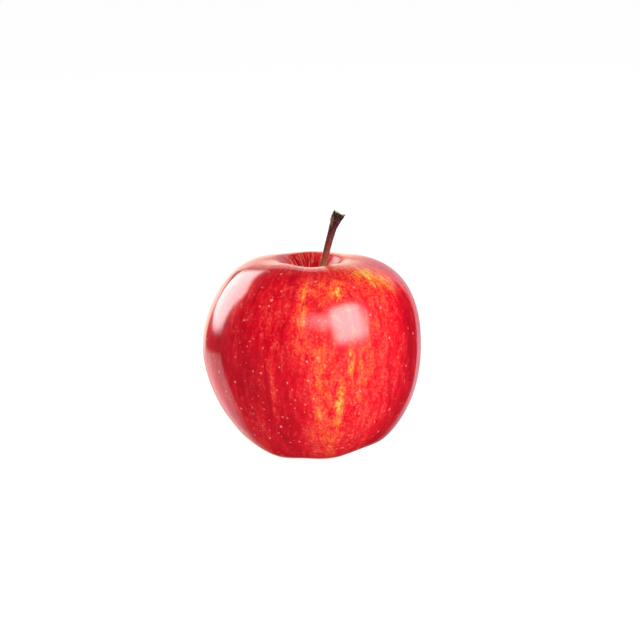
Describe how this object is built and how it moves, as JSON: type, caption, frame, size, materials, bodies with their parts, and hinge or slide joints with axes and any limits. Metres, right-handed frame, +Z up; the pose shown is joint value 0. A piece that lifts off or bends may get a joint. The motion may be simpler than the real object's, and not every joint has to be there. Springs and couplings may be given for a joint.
{
  "type": "apple",
  "caption": "Ripe red eating apple flushed with yellow, standing on its base, with a leaning woody stem in its upper hollow and dried sepals in its eye.",
  "frame": {"origin": "under the middle of the apple's box, on the plane that its base lobes rest on", "axes": "+Z up along the core towards the stem; the apple's front, with the yellow streaks, faces -Y; the stem leans towards +X"},
  "size_m": [0.075, 0.0752, 0.0847],
  "materials": {
    "fruit_skin": "smooth waxy fruit skin, glossy, crimson to orange-red with yellow streaks and pale dots",
    "stem_wood": "dry, finely wrinkled, red-brown bark, almost black at the flared end",
    "sepal_dry": "dry, papery, downy, grey-brown",
    "stamen_dry": "dry, matt, dark brown"
  },
  "bodies": {
    "root": {"fruit": "fruit_skin", "stem": "stem_wood", "sepal_1": "sepal_dry", "sepal_2": "sepal_dry", "sepal_3": "sepal_dry", "sepal_4": "sepal_dry", "sepal_5": "sepal_dry", "stamen_01": "stamen_dry", "stamen_02": "stamen_dry", "stamen_03": "stamen_dry", "stamen_04": "stamen_dry", "stamen_05": "stamen_dry", "stamen_06": "stamen_dry", "stamen_07": "stamen_dry", "stamen_08": "stamen_dry", "stamen_09": "stamen_dry", "stamen_10": "stamen_dry", "style": "stamen_dry"}
  },
  "joints": []
}
